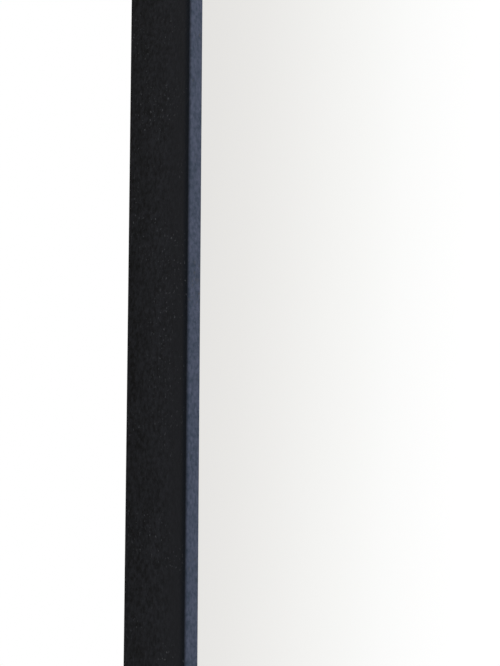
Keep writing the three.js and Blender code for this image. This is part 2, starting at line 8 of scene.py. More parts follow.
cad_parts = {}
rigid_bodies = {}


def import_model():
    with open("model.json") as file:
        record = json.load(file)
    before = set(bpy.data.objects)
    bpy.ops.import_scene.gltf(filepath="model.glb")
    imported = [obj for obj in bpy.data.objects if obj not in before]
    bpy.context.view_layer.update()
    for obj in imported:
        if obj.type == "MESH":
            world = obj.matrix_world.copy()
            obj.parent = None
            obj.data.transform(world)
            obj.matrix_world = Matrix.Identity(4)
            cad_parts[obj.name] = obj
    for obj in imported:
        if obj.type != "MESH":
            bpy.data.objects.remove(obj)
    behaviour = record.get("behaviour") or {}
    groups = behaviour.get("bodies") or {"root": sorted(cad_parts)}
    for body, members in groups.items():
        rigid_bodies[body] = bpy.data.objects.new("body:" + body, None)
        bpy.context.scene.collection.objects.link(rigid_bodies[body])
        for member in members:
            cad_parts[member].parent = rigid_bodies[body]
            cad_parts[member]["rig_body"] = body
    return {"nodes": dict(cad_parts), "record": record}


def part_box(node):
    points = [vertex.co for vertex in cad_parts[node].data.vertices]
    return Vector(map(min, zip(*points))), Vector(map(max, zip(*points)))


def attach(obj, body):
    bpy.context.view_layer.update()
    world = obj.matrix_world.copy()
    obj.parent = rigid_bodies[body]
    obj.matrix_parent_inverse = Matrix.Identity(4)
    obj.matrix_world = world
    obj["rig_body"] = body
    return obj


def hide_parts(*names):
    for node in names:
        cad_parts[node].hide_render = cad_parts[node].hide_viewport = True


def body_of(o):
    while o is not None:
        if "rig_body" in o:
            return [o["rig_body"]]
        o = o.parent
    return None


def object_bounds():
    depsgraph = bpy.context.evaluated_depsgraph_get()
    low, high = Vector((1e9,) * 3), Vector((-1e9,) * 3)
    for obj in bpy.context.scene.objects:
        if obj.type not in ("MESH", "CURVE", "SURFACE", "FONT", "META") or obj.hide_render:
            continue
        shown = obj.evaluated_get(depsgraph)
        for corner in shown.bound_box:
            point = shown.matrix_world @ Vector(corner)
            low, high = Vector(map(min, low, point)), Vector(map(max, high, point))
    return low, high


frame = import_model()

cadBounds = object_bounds()
mm = 0.001
levels = ("upper", "lower")
nodes = frame["nodes"]
print("frame loaded:", len(nodes), "pieces")


# Shader maths: a wire is one output socket, and arithmetic on it adds Math nodes.
class Wire:
    def __init__(self, shader, socket):
        self.shader = shader
        self.socket = socket

    def math(self, operation, *values):
        settings = {"operation": operation}
        return self.shader.node("ShaderNodeMath", settings, dict(enumerate(values)))

    def __add__(self, other):
        return self.math("ADD", self, other)

    __radd__ = __add__

    def __sub__(self, other):
        return self.math("SUBTRACT", self, other)

    def __rsub__(self, other):
        return self.math("SUBTRACT", other, self)

    def __mul__(self, other):
        return self.math("MULTIPLY", self, other)

    __rmul__ = __mul__

    def __truediv__(self, other):
        return self.math("DIVIDE", self, other)

    def __rtruediv__(self, other):
        return self.math("DIVIDE", other, self)

    def __pow__(self, other):
        return self.math("POWER", self, other)

    def __rpow__(self, other):
        return self.math("POWER", other, self)


class Shader:
    def __init__(self, tree):
        self.tree = tree
        self.tree.nodes.clear()

    def node(self, kind, settings=None, sockets=None, out=0):
        made = self.tree.nodes.new(kind)
        for name, value in (settings or {}).items():
            if name == "stops":
                self.setStops(made.color_ramp, value)
            else:
                setattr(made, name, value)
        for name, value in (sockets or {}).items():
            if isinstance(value, Wire):
                self.tree.links.new(value.socket, made.inputs[name])
            else:
                made.inputs[name].default_value = value
        return Wire(self, made.outputs[out]) if made.outputs else made

    def setStops(self, ramp, stops):
        while len(ramp.elements) > 1:
            ramp.elements.remove(ramp.elements[-1])
        for index, (place, colour) in enumerate(stops):
            element = ramp.elements[0] if index == 0 else ramp.elements.new(place)
            element.position = place
            element.color = colour

    def out(self, wire, name):
        return Wire(self, wire.socket.node.outputs[name])

    def split(self, vector):
        parts = self.node("ShaderNodeSeparateXYZ", sockets={"Vector": vector})
        return parts, self.out(parts, "Y"), self.out(parts, "Z")

    def rays(self, *names):
        path = self.node("ShaderNodeLightPath")
        return [self.out(path, name) for name in names]

    def place(self, stretch=None):
        spot = self.node("ShaderNodeTexCoord", out="Object")
        if stretch is None:
            return spot
        return self.node("ShaderNodeMapping", sockets={"Vector": spot, "Scale": stretch})

    def noise(self, spot, scale, detail=2, roughness=0.5):
        sockets = {"Vector": spot, "Scale": scale, "Detail": detail, "Roughness": roughness}
        return self.node("ShaderNodeTexNoise", sockets=sockets)

    def mix(self, factor, first, second):
        sockets = {0: factor, 6: first, 7: second}
        return self.node("ShaderNodeMix", {"data_type": "RGBA"}, sockets, out=2)

    def blend(self, weights, *values):
        total = values[0] * weights[0]
        for value, weight in zip(values[1:], weights[1:]):
            total = total + value * weight
        return total

    def span(self, value, low, high, kind="LINEAR"):
        sockets = {"Value": value, "From Min": low, "From Max": high}
        return self.node("ShaderNodeMapRange", {"interpolation_type": kind}, sockets)

    def fade(self, value, low, high):
        return self.span(value, low, high, "SMOOTHSTEP")

    def ramp(self, value, stops):
        return self.node("ShaderNodeValToRGB", {"stops": stops}, {"Fac": value})

    def bump(self, height, distance):
        return self.node("ShaderNodeBump", sockets={"Height": height, "Distance": distance, "Strength": 1.0})

    def surface(self, **sockets):
        named = {name.replace("_", " "): value for name, value in sockets.items()}
        body = self.node("ShaderNodeBsdfPrincipled", sockets=named)
        self.node("ShaderNodeOutputMaterial", sockets={"Surface": body})


def grey(level):
    return (level, level, level, 1)


def newMaterial(name):
    material = bpy.data.materials.new(name)
    material.use_nodes = True
    return material, Shader(material.node_tree)


# Camera: fitted to the photograph's three upright edges
cameraSettings = {
    "lens": 85,
    "nearest": 0.01,
    "place": (-0.3467, -0.3265, 0.0),
    "azimuth": -49.83,
    "elevation": 5.6,
    "roll": 0.26,
}


def makeCamera(s):
    data = bpy.data.cameras.new("camera")
    data.lens = s["lens"]
    data.clip_start = s["nearest"]
    camera = bpy.data.objects.new("camera", data)
    bpy.context.scene.collection.objects.link(camera)
    turn = math.radians(s["azimuth"])
    tilt = math.radians(90 + s["elevation"])
    aim = Matrix.Rotation(turn, 4, "Z") @ Matrix.Rotation(tilt, 4, "X")
    aim = aim @ Matrix.Rotation(math.radians(s["roll"]), 4, "Z")
    camera.matrix_world = Matrix.Translation(s["place"]) @ aim
    bpy.context.scene.camera = camera


makeCamera(cameraSettings)
print("camera set")


# World: white behind the object. What glass and metal mirror is a pale room above a pale floor, brightest
# to the right and mid grey on the left, where the frame's side looks. Across, 0.5 is straight out from the
# mirror's face.
worldSettings = {
    "ambient": (0.90, 0.92, 0.96, 1),
    "ambientStrength": 0.34,
    "lean": 0.053,
    "roomStrength": 1.035,
    "ground": (0.62, 0.62, 0.62, 1),
    "groundSheen": 0.55,
    "groundTop": math.radians(-6),
    "groundFade": math.radians(6),
    "offPole": 0.0001,  # keeps the height angle defined straight up and down
    "backdrop": 1.0,
    "stops": [
        (0.000, (0.60, 0.60, 0.60, 1)),
        (0.060, (0.50, 0.50, 0.50, 1)),
        (0.200, (0.48, 0.48, 0.48, 1)),
        (0.290, (0.52, 0.52, 0.52, 1)),
        (0.400, (0.60, 0.60, 0.60, 1)),
        (0.520, (0.66, 0.66, 0.65, 1)),
        (0.630, (0.753, 0.743, 0.727, 1)),
        (0.638, (0.810, 0.802, 0.787, 1)),
        (0.643, (0.861, 0.857, 0.843, 1)),
        (0.648, (0.903, 0.903, 0.890, 1)),
        (0.653, (0.948, 0.950, 0.944, 1)),
        (0.658, (0.977, 0.977, 0.977, 1)),
        (0.664, (1.0, 1.0, 1.0, 1)),
        (0.860, (1.0, 1.0, 1.0, 1)),
        (1.000, (0.60, 0.60, 0.60, 1)),
    ],
}


def makeWorld(s):
    world = bpy.data.worlds.new("studio")
    bpy.context.scene.world = world
    world.use_nodes = True
    shader = Shader(world.node_tree)
    direction = shader.node("ShaderNodeTexCoord", out="Generated")
    x, y, z = shader.split(direction)
    level = (x * x + y * y + s["offPole"]) ** 0.5
    across = x.math("ARCTAN2", x, 0 - y)
    above = z.math("ARCTAN2", z, level)
    room = shader.ramp((across - above * s["lean"]) / (2 * math.pi) + 0.5, s["stops"])
    upper = shader.fade(above, s["groundTop"] - s["groundFade"], s["groundTop"])
    room = shader.mix(upper, shader.mix(s["groundSheen"], s["ground"], room), room)
    camera, glossy, passing = shader.rays("Is Camera Ray", "Is Glossy Ray", "Is Transmission Ray")
    soft = {"Color": s["ambient"], "Strength": s["ambientStrength"]}
    ambient = shader.node("ShaderNodeBackground", sockets=soft)
    seen = shader.node("ShaderNodeBackground", sockets={"Color": room, "Strength": s["roomStrength"]})
    white = shader.node("ShaderNodeBackground", sockets={"Color": grey(1), "Strength": s["backdrop"]})
    mirrored = shader.node("ShaderNodeMixShader", sockets={0: glossy, 1: ambient, 2: seen})
    direct = camera.math("MAXIMUM", camera, passing)
    total = shader.node("ShaderNodeMixShader", sockets={0: direct, 1: mirrored, 2: white})
    shader.node("ShaderNodeOutputWorld", sockets={"Surface": total})


makeWorld(worldSettings)


# Lamps: a broad one high in front, a weak one on the left, and one behind for the runners
lampSettings = [
    {"name": "key_lamp", "place": (0.4, -2.4, 2.0), "size": 1.6, "power": 60, "colour": (0.96, 0.98, 1.0)},
    {"name": "left_lamp", "place": (-2.6, -0.4, 0.9), "size": 1.6, "power": 19, "colour": (1.0, 0.98, 0.96)},
    {"name": "back_lamp", "place": (0.6, 2.6, 1.3), "size": 1.8, "power": 50, "colour": (1.0, 0.99, 0.98)},
]


def makeLamps(lamps):
    middle = (cadBounds[0] + cadBounds[1]) / 2
    for s in lamps:
        data = bpy.data.lights.new(s["name"], "AREA")
        data.shape = "DISK"
        data.size = s["size"]
        data.energy = s["power"]
        data.color = s["colour"]
        lamp = bpy.data.objects.new(s["name"], data)
        bpy.context.scene.collection.objects.link(lamp)
        lamp.location = s["place"]
        lamp.rotation_mode = "QUATERNION"
        lamp.rotation_quaternion = (middle - Vector(s["place"])).to_track_quat("-Z", "Y")


makeLamps(lampSettings)


# Floor: pale where it holds the object's shadow; further off it thins out to the white round it. It looks
# lighter than the light that it throws back onto the object.
floorSettings = {
    "drop": 0.03,
    "reach": 3.4,
    "sides": 64,
    "colour": grey(0.9),
    "bounce": grey(0.5),
    "fadeFrom": 0.7,
    "fadeTo": 3.3,
}


def makeFloor(s):
    height = cadBounds[0].z - s["drop"]
    turns = [2 * math.pi * i / s["sides"] for i in range(s["sides"])]
    rim = [(s["reach"] * math.cos(turn), s["reach"] * math.sin(turn), height) for turn in turns]
    mesh = bpy.data.meshes.new("floor")
    mesh.from_pydata(rim, [], [tuple(range(s["sides"]))])
    floor = bpy.data.objects.new("floor", mesh)
    bpy.context.scene.collection.objects.link(floor)
    material, shader = newMaterial("floor_white")
    x, y, z = shader.split(shader.node("ShaderNodeTexCoord", out="Object"))
    away = (x * x + y * y) ** 0.5
    fade = shader.fade(away, s["fadeFrom"], s["fadeTo"])
    camera, glossy, passing = shader.rays("Is Camera Ray", "Is Glossy Ray", "Is Transmission Ray")
    looked = camera.math("MAXIMUM", camera.math("MAXIMUM", camera, glossy), passing)
    colour = shader.mix(looked, s["bounce"], s["colour"])
    matte = shader.node("ShaderNodeBsdfDiffuse", sockets={"Color": colour})
    clear = shader.node("ShaderNodeBsdfTransparent")
    total = shader.node("ShaderNodeMixShader", sockets={0: fade, 1: matte, 2: clear})
    shader.node("ShaderNodeOutputMaterial", sockets={"Surface": total})
    mesh.materials.append(material)


makeFloor(floorSettings)
print("studio set")


# Powder coat: a fine grain over a broader one, with light flecks in patches that also stand in for the
# textured coat's glints, a painted highlight
powderCoat = {
    "dark": (0.0038, 0.0041, 0.0052, 1),
    "light": (0.0190, 0.0198, 0.0236, 1),
    # spark: light flecks, which also serve as painted glints
    "spark": (0.068, 0.071, 0.078, 1),
    "stretch": (1, 1, 0.76),
    "fineScale": 1150,
    "fineGrit": 0.55,
    "broadScale": 230,
    "toneWeights": (0.78, 0.22),
    "toneSpan": (0.35, 0.65),
    "sparkScale": 1400,
    "sparkSpan": (0.63, 0.73),
    "patchScale": 90,
    "patchSpan": (0.49, 0.59),
    "roughness": 0.50,
    "roughnessSwing": 0.2,
    "sparkGloss": 0.15,
    "specular": 0.10,
    "bumpWeights": (0.8, 0.2),
    "height": 0.00018,
}
frameCoatAndLight = {
    # dark and light: the lip's slate tone, painted light where the front face is lit
    "dark": (0.0353, 0.0495, 0.0748, 1),
    "light": (0.0852, 0.0971, 0.1450, 1),
    "toneWeights": (0.85, 0.15),
    "litLipSpan": (0.0, 0.68),  # mm behind the front
    # painted shade: a dark blue line along the side just behind the rounded front edge
    "line": (0.0010, 0.0030, 0.0066, 1),
    "lineSpan": (0.8, 2.75),  # mm behind the front
    "sideDark": (0.0003, 0.0003, 0.0004, 1),
    "sideLight": (0.0187, 0.0196, 0.0236, 1),
    "sideLevel": 0.653,
    # backShade: painted shade, how much darker the sides get towards the back
    "backShade": 0.37,
    "backShadeSpan": (0.3, 1.1),  # shares of the depth, as is the grain's span
    "frontGrain": 0.155,
    "backGrain": 0.70,
    "grainSpan": (0.1, 0.5),
}


# The front lip of the mirror's frame has a lighter slate tone, painted light: the same black coat as lit by
# the key lamp.
# It ends in a dark blue line of painted shade just behind the front edge. Towards the back the sides get
# darker, painted shade, and their grain stronger.
def frameColour(shader, grain, broad, lip):
    low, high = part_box("left_stile")
    x, y, z = shader.split(shader.place())
    behind = y - low.y
    share = behind / (high.y - low.y)
    # away: painted shade, the sides darker towards the back, away from the light in front
    away = shader.fade(share, *lip["backShadeSpan"])
    coarse = shader.fade(share, *lip["grainSpan"])
    # front: the lip's face, which takes the slate tone as painted light
    front = 1 - shader.span(behind / mm, *lip["litLipSpan"])
    # painted shade: the dark blue line on the side just behind the front edge
    shadedEdge = 1 - shader.fade(behind / mm, *lip["lineSpan"])
    relief = lip["frontGrain"] + coarse * (lip["backGrain"] - lip["frontGrain"])
    # side: the coat's grain, less the painted shade towards the back
    side = (grain - 0.5) * relief + lip["sideLevel"] - away * lip["backShade"]
    shade = shader.mix(shadedEdge, shader.mix(side, lip["sideDark"], lip["sideLight"]), lip["line"])
    # the lip's slate tone: the black coat painted as lit by the key lamp
    litLip = shader.mix(shader.blend(lip["toneWeights"], grain, broad), lip["dark"], lip["light"])
    return shader.mix(front, shade, litLip)


def makePowderCoat(name, s, lip=None):
    material, shader = newMaterial(name)
    spot = shader.place(s["stretch"])
    fine = shader.noise(spot, s["fineScale"], roughness=s["fineGrit"])
    broad = shader.noise(spot, s["broadScale"])
    patches = shader.span(shader.noise(shader.place(), s["patchScale"]), *s["patchSpan"])
    # light flecks in patches, partly painted highlight for the coat's glints
    spark = shader.span(shader.noise(spot, s["sparkScale"]), *s["sparkSpan"]) * patches
    grain = shader.span(shader.blend(s["toneWeights"], fine, broad), *s["toneSpan"])
    if lip:
        colour = frameColour(shader, grain, broad, lip)
    else:
        colour = shader.mix(grain, s["dark"], s["light"])
    shader.surface(
        Base_Color=shader.mix(spark, colour, s["spark"]),
        Roughness=s["roughness"] + (fine - 0.5) * s["roughnessSwing"] - spark * s["sparkGloss"],
        Specular_IOR_Level=s["specular"],
        Normal=shader.bump(shader.blend(s["bumpWeights"], fine, broad), s["height"]),
    )
    return material


# Silvered glass, with the faintest haze
mirrorSilver = {
    "hazy": (0.985, 0.985, 0.982, 1),
    "clear": grey(0.992),
    "hazeScale": 9,
    "hazeDetail": 3,
    "roughness": 0.012,
    "roughnessSwing": 0.006,
}


def makeMirror(name, s):
    material, shader = newMaterial(name)
    haze = shader.noise(shader.place(), s["hazeScale"], s["hazeDetail"])
    shader.surface(
        Base_Color=shader.mix(haze, s["hazy"], s["clear"]),
        Metallic=1.0,
        Roughness=haze * s["roughnessSwing"] + s["roughness"],
    )
    return material


# Rolled, drawn and turned metal: streaks that run along the work, under clouds and specks
steelGrain = {
    "streakScale": 1600,
    "streakDetail": 4,
    "streakGrit": 0.6,
    "cloudScale": 45,
    "cloudDetail": 3,
    "speckScale": 1900,
    "speckDetail": 1,
    "toneWeights": (0.5, 0.3, 0.2),
    "toneSpan": (0.36, 0.62),
    "roughnessSwing": 0.16,
    "bumpWeights": (0.6, 0.4),
    "height": 0.000012,
}
steels = {
    "zinc_rail": {
        "dark": (0.43, 0.44, 0.46, 1), "light": (0.53, 0.54, 0.56, 1),
        "roughness": 0.36, "stretch": (0.03, 1, 1),
    },
    "zinc_part": {
        "dark": (0.43, 0.44, 0.46, 1), "light": (0.53, 0.54, 0.56, 1),
        "roughness": 0.36, "stretch": (1, 1, 0.08),
    },
    "yellow_cage": {
        "dark": (0.34, 0.31, 0.20, 1), "light": (0.52, 0.47, 0.30, 1),
        "roughness": 0.36, "stretch": (0.03, 1, 1),
    },
    "turned_steel": {
        "dark": (0.45, 0.46, 0.47, 1), "light": (0.62, 0.63, 0.64, 1),
        "roughness": 0.22, "stretch": (1, 1, 0.08),
    },
    "brass_bush": {
        "dark": (0.42, 0.28, 0.09, 1), "light": (0.62, 0.42, 0.14, 1),
        "roughness": 0.30, "stretch": (1, 1, 0.1),
    },
}


def makeSteel(name, s, grain):
    material, shader = newMaterial(name)
    spot = shader.place()
    along = shader.place(s["stretch"])
    streaks = shader.noise(along, grain["streakScale"], grain["streakDetail"], grain["streakGrit"])
    clouds = shader.noise(spot, grain["cloudScale"], grain["cloudDetail"])
    specks = shader.noise(spot, grain["speckScale"], grain["speckDetail"])
    tone = shader.span(shader.blend(grain["toneWeights"], streaks, clouds, specks), *grain["toneSpan"])
    swing = grain["roughnessSwing"]
    shader.surface(
        Base_Color=shader.mix(tone, s["dark"], s["light"]),
        Metallic=1.0,
        Roughness=s["roughness"] + (streaks - 0.5) * swing + (clouds - 0.5) * swing,
        Normal=shader.bump(shader.blend(grain["bumpWeights"], streaks, specks), grain["height"]),
    )
    return material


# Moulded, painted, cast or pressed: a fine grain under broader clouds
mouldedGrain = {
    "grainDetail": 3,
    "grainGrit": 0.6,
    "cloudStep": 12,  # how many times broader than the grain
    "cloudDetail": 3,
    "toneWeights": (0.75, 0.25),
    "toneSpan": (0.36, 0.64),
    "darkShare": 0.72,
    "lightShare": 1.55,
    "lightLift": 0.004,
    "grainSwing": 0.25,
    "cloudSwing": 0.2,
    "bumpWeights": (0.7, 0.3),
}
mouldings = {
    "steel_black": {
        "colour": (0.014, 0.014, 0.016), "roughness": 0.48, "metallic": 0.0,
        "scale": 1300, "height": 0.00004,
    },
    "oxide_black": {
        "colour": (0.022, 0.022, 0.024), "roughness": 0.38, "metallic": 0.6,
        "scale": 900, "height": 0.00001,
    },
    "key_grey": {
        "colour": (0.34, 0.35, 0.36), "roughness": 0.45, "metallic": 1.0,
        "scale": 800, "height": 0.00004,
    },
    "plastic_black": {
        "colour": (0.013, 0.013, 0.015), "roughness": 0.45, "metallic": 0.0,
        "scale": 500, "height": 0.00004,
    },
    "rubber_black": {
        "colour": (0.010, 0.0105, 0.013), "roughness": 0.70, "metallic": 0.0,
        "scale": 600, "height": 0.00005,
    },
    "board_dark": {
        "colour": (0.030, 0.027, 0.024), "roughness": 0.72, "metallic": 0.0,
        "scale": 300, "height": 0.00005,
    },
    "ferrite_grey": {
        "colour": (0.050, 0.050, 0.055), "roughness": 0.55, "metallic": 0.0,
        "scale": 500, "height": 0.00004,
    },
}


def makeMoulded(name, s, texture):
    material, shader = newMaterial(name)
    spot = shader.place()
    grain = shader.noise(spot, s["scale"], texture["grainDetail"], texture["grainGrit"])
    clouds = shader.noise(spot, s["scale"] / texture["cloudStep"], texture["cloudDetail"])
    tone = shader.span(shader.blend(texture["toneWeights"], grain, clouds), *texture["toneSpan"])
    dark = tuple(c * texture["darkShare"] for c in s["colour"]) + (1,)
    light = tuple(c * texture["lightShare"] + texture["lightLift"] for c in s["colour"]) + (1,)
    swing = (grain - 0.5) * texture["grainSwing"] + (clouds - 0.5) * texture["cloudSwing"]
    shader.surface(
        Base_Color=shader.mix(tone, dark, light),
        Metallic=s["metallic"],
        Roughness=s["roughness"] + swing,
        Normal=shader.bump(shader.blend(texture["bumpWeights"], grain, clouds), s["height"]),
    )
    return material


finishes = {
    "coat_black": makePowderCoat("coat_black", powderCoat),
    # The frame's strips: the same coat, with painted light on the lip and painted shade on the sides
    "frame_coat_painted_light": makePowderCoat("frame_coat_painted_light", powderCoat, frameCoatAndLight),
    "mirror_silver": makeMirror("mirror_silver", mirrorSilver),
}
for name, s in steels.items():
    finishes[name] = makeSteel(name, s, steelGrain)
for name, s in mouldings.items():
    finishes[name] = makeMoulded(name, s, mouldedGrain)
print("finishes made")

finishOfSlot = {
    "frame_black": "coat_black",
    "mirror_glass": "mirror_silver",
    "black_rubber": "rubber_black",
    "backing_board": "board_dark",
    "zinc_steel": "zinc_rail",
    "cage_steel": "yellow_cage",
    "black_steel": "steel_black",
    "black_screw": "oxide_black",
    "cast_key": "key_grey",
    "pivot_pin": "turned_steel",
    "bush_brass": "brass_bush",
    "black_plastic": "plastic_black",
    "magnet": "ferrite_grey",
}
slotOfNode = {part["node"]: part["material_slot"] for part in frame["record"]["subparts"]}


# How edges are eased and shaded: angles in degrees, lengths in mm
edgeSettings = {
    "weldGap": 0.002,
    "flatAngle": 0.5,
    "bevelAngle": 40,
    "bevelSteps": 3,
    "longEdge": 100,
    "crispAngle": 32,
    "flatWeight": 100,
}


def newGroup(name):
    tree = bpy.data.node_groups.new(name, "GeometryNodeTree")
    tree.interface.new_socket("Geometry", in_out="INPUT", socket_type="NodeSocketGeometry")
    tree.interface.new_socket("Geometry", in_out="OUTPUT", socket_type="NodeSocketGeometry")
    return tree, tree.nodes.new("NodeGroupInput"), tree.nodes.new("NodeGroupOutput")


def above(tree, value, least):
    test = tree.nodes.new("FunctionNodeCompare")
    test.operation = "GREATER_THAN"
    test.inputs["B"].default_value = least
    tree.links.new(value, test.inputs["A"])
    return test.outputs[0]


def makeSmoothing(s):
    tree, start, end = newGroup("smooth_by_angle")
    soft = tree.nodes.new("GeometryNodeSetShadeSmooth")
    crisp = tree.nodes.new("GeometryNodeSetShadeSmooth")
    crisp.domain = "EDGE"
    crisp.inputs["Shade Smooth"].default_value = False
    angle = tree.nodes.new("GeometryNodeInputMeshEdgeAngle")
    sharp = above(tree, angle.outputs["Unsigned Angle"], math.radians(s["crispAngle"]))
    tree.links.new(start.outputs[0], soft.inputs["Geometry"])
    tree.links.new(soft.outputs[0], crisp.inputs["Geometry"])
    tree.links.new(sharp, crisp.inputs["Selection"])
    tree.links.new(crisp.outputs[0], end.inputs[0])
    return tree


# Marks a section's long edges for the bevel: all of them, or by the signed angle only those that stand out.
# Its cut ends and its holes stay crisp.
def makeLongEdges(name, turn, s):
    tree, start, end = newGroup(name)
    angle = tree.nodes.new("GeometryNodeInputMeshEdgeAngle")
    ends = tree.nodes.new("GeometryNodeInputMeshEdgeVertices")
    reach = tree.nodes.new("ShaderNodeVectorMath")
    reach.operation = "DISTANCE"
    tree.links.new(ends.outputs["Position 1"], reach.inputs[0])
    tree.links.new(ends.outputs["Position 2"], reach.inputs[1])
    both = tree.nodes.new("FunctionNodeBooleanMath")
    tree.links.new(above(tree, angle.outputs[turn], math.radians(s["bevelAngle"])), both.inputs[0])
    tree.links.new(above(tree, reach.outputs["Value"], s["longEdge"] * mm), both.inputs[1])
    store = tree.nodes.new("GeometryNodeStoreNamedAttribute")
    store.domain = "EDGE"
    store.inputs["Name"].default_value = "bevel_weight_edge"
    tree.links.new(start.outputs[0], store.inputs["Geometry"])
    tree.links.new(both.outputs[0], store.inputs["Value"])
    tree.links.new(store.outputs[0], end.inputs[0])
    return tree


smoothing = makeSmoothing(edgeSettings)
bentEdges = makeLongEdges("bent_edges", "Unsigned Angle", edgeSettings)
outerEdges = makeLongEdges("outer_edges", "Signed Angle", edgeSettings)


# Smooth shading up to a sharp edge, while flat faces stay flat
def smooth(piece):
    piece.modifiers.new("smooth", "NODES").node_group = smoothing
    weighted = piece.modifiers.new("weighted", "WEIGHTED_NORMAL")
    weighted.weight = edgeSettings["flatWeight"]
    weighted.keep_sharp = True


# Carried-over pieces: their bent and cut edges are eased (mm), and each takes its finish
frameStrips = ["left_stile", "right_stile", "top_rail", "bottom_rail"]
drawnSections = [*frameStrips, "carriage_post"]
rolledSections = [f"{level}_{stage}_rail" for level in levels for stage in ("outer", "middle", "inner")]
cornerKeys = [f"{level}_{side}_corner_key" for level in levels for side in ("left", "right")]
easing = {
    **dict.fromkeys(frameStrips, 0.2),
    **dict.fromkeys(rolledSections, 0.45),
    **dict.fromkeys(cornerKeys, 0.4),
    **dict.fromkeys([f"{level}_pivot_bush" for level in levels], 0.15),
    **dict.fromkeys([f"{level}_pivot_washer" for level in levels], 0.25),
    "carriage_post": 0.25,
    "carriage_bar": 0.5,
    "front_mounting_bar": 0.5,
    "rear_mounting_bar": 0.5,
    "strike_plate": 0.2,
    "backing_board": 0.3,
}


def easeEdges(piece, width, s):
    weld = piece.modifiers.new("weld", "WELD")
    weld.merge_threshold = s["weldGap"] * mm
    flatten = piece.modifiers.new("flatten", "DECIMATE")
    flatten.decimate_type = "DISSOLVE"
    flatten.angle_limit = math.radians(s["flatAngle"])
    if not width:
        return
    marked = None
    if piece.name in drawnSections:
        marked = outerEdges
    elif piece.name in rolledSections:
        marked = bentEdges
    if marked:
        piece.modifiers.new("long_edges", "NODES").node_group = marked
    bevel = piece.modifiers.new("bevel", "BEVEL")
    bevel.width = width * mm
    bevel.segments = s["bevelSteps"]
    bevel.limit_method = "WEIGHT" if marked else "ANGLE"
    bevel.angle_limit = math.radians(s["bevelAngle"])


for name, piece in nodes.items():
    coat = "frame_coat_painted_light" if name in frameStrips else finishOfSlot[slotOfNode[name]]
    piece.data.materials.clear()
    piece.data.materials.append(finishes[coat])
    easeEdges(piece, easing.get(name, 0), edgeSettings)
    smooth(piece)
print("carried-over pieces dressed")


mergeGap = 0.001 * mm


# A mesh object from points and faces, merged where they meet and with its faces turned out
def newPiece(name, points, faces):
    mesh = bpy.data.meshes.new(name)
    mesh.from_pydata(points, [], faces)
    return finishMesh(bpy.data.objects.new(name, mesh))


def finishMesh(piece):
    form = bmesh.new()
    form.from_mesh(piece.data)
    bmesh.ops.remove_doubles(form, verts=form.verts, dist=mergeGap)
    bmesh.ops.recalc_face_normals(form, faces=form.faces)
    form.to_mesh(piece.data)
    form.free()
    if piece.name not in bpy.context.scene.collection.objects:
        bpy.context.scene.collection.objects.link(piece)
    return piece


# The piece rides with the node that it stands for or lies beside, and takes that node's finish
def follow(piece, node, finish=None, slot=None, replaces=True):
    slot = slot or slotOfNode[node]
    piece.data.materials.clear()
    piece.data.materials.append(finishes[finish or finishOfSlot[slot]])
    smooth(piece)
    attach(piece, body_of(nodes[node])[0])
    if replaces:
        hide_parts(node)
    return piece


# A turned form round Z. Each ring is a radius and a height, and a radius may be a function of the angle and
# the height.
def spun(name, rings, steps):
    points = []
    for radius, height in rings:
        for i in range(steps):
            turn = 2 * math.pi * i / steps
            reach = radius(turn, height) if callable(radius) else radius
            points.append((reach * math.cos(turn), reach * math.sin(turn), height))
    faces = []
    for ring in range(len(rings) - 1):
        here = ring * steps
        for i in range(steps):
            after = (i + 1) % steps
            faces.append((here + i, here + after, here + steps + after, here + steps + i))
    faces.append(tuple(range(steps)))
    faces.append(tuple(range(len(points) - steps, len(points))))
    return newPiece(name, points, faces)


def hexagon(across):
    def reach(turn, height):
        return across / math.cos((turn + math.pi / 6) % (math.pi / 3) - math.pi / 6)
    return reach


def thread(core, depth, pitch):
    def reach(turn, height):
        phase = (height / pitch - turn / (2 * math.pi)) % 1
        return core + depth * (1 - abs(2 * phase - 1))
    return reach


# Screws and pins: places and lengths come from the node's box, the rest from these. The socket's width is a
# share of the head's radius, all else is in mm.
fastenings = {
    "corner": {"head": 1.8, "shank": 1.6, "pitch": 0.7, "dome": 0.9, "socket": 0.46, "aim": (0, 1, 0)},
    "strike": {"head": 1.5, "shank": 1.4, "pitch": 0.7, "dome": 0.8, "socket": 0.46, "aim": (0, 1, 0)},
    "carriage": {"head": 2.0, "shank": 2.0, "pitch": 0.8, "dome": 0.9, "socket": 0.44, "aim": (0, 1, 0)},
    "bracket": {"head": 1.8, "shank": 1.6, "pitch": 0.8, "dome": 0.8, "socket": 0.46, "aim": (0, 0, 1)},
    "pin": {"head": 3.0, "shank": 2.5, "pitch": 0, "dome": 0.6, "socket": 0.46, "aim": (0, 0, 1)},
}


# How they are turned: mm, counts of steps, and shares of the shank's radius unless a note says otherwise
turning = {
    "steps": 48,
    "domeSteps": 6,
    "threadSteps": 4,  # for each pitch
    "tipShares": ((0.55, 0.0), (0.92, 0.45)),  # radius and height
    "threadStartShare": 0.5,
    "threadEndShare": 1.0,
    "threadDepthShare": 0.38,  # of the pitch
    "neckShare": 0.9,
    "neck": 0.25,
    "plainShare": 0.6,
    "plain": 0.3,
    "collar": 0.02,
    "headEase": 0.2,
    "mouthShare": 1.09,  # of the socket's width
    "mouthEase": 0.12,
    "floorShare": 0.35,  # of the head's height
    "pointShares": (0.1, 0.22),  # of the socket's width and the head's height
}


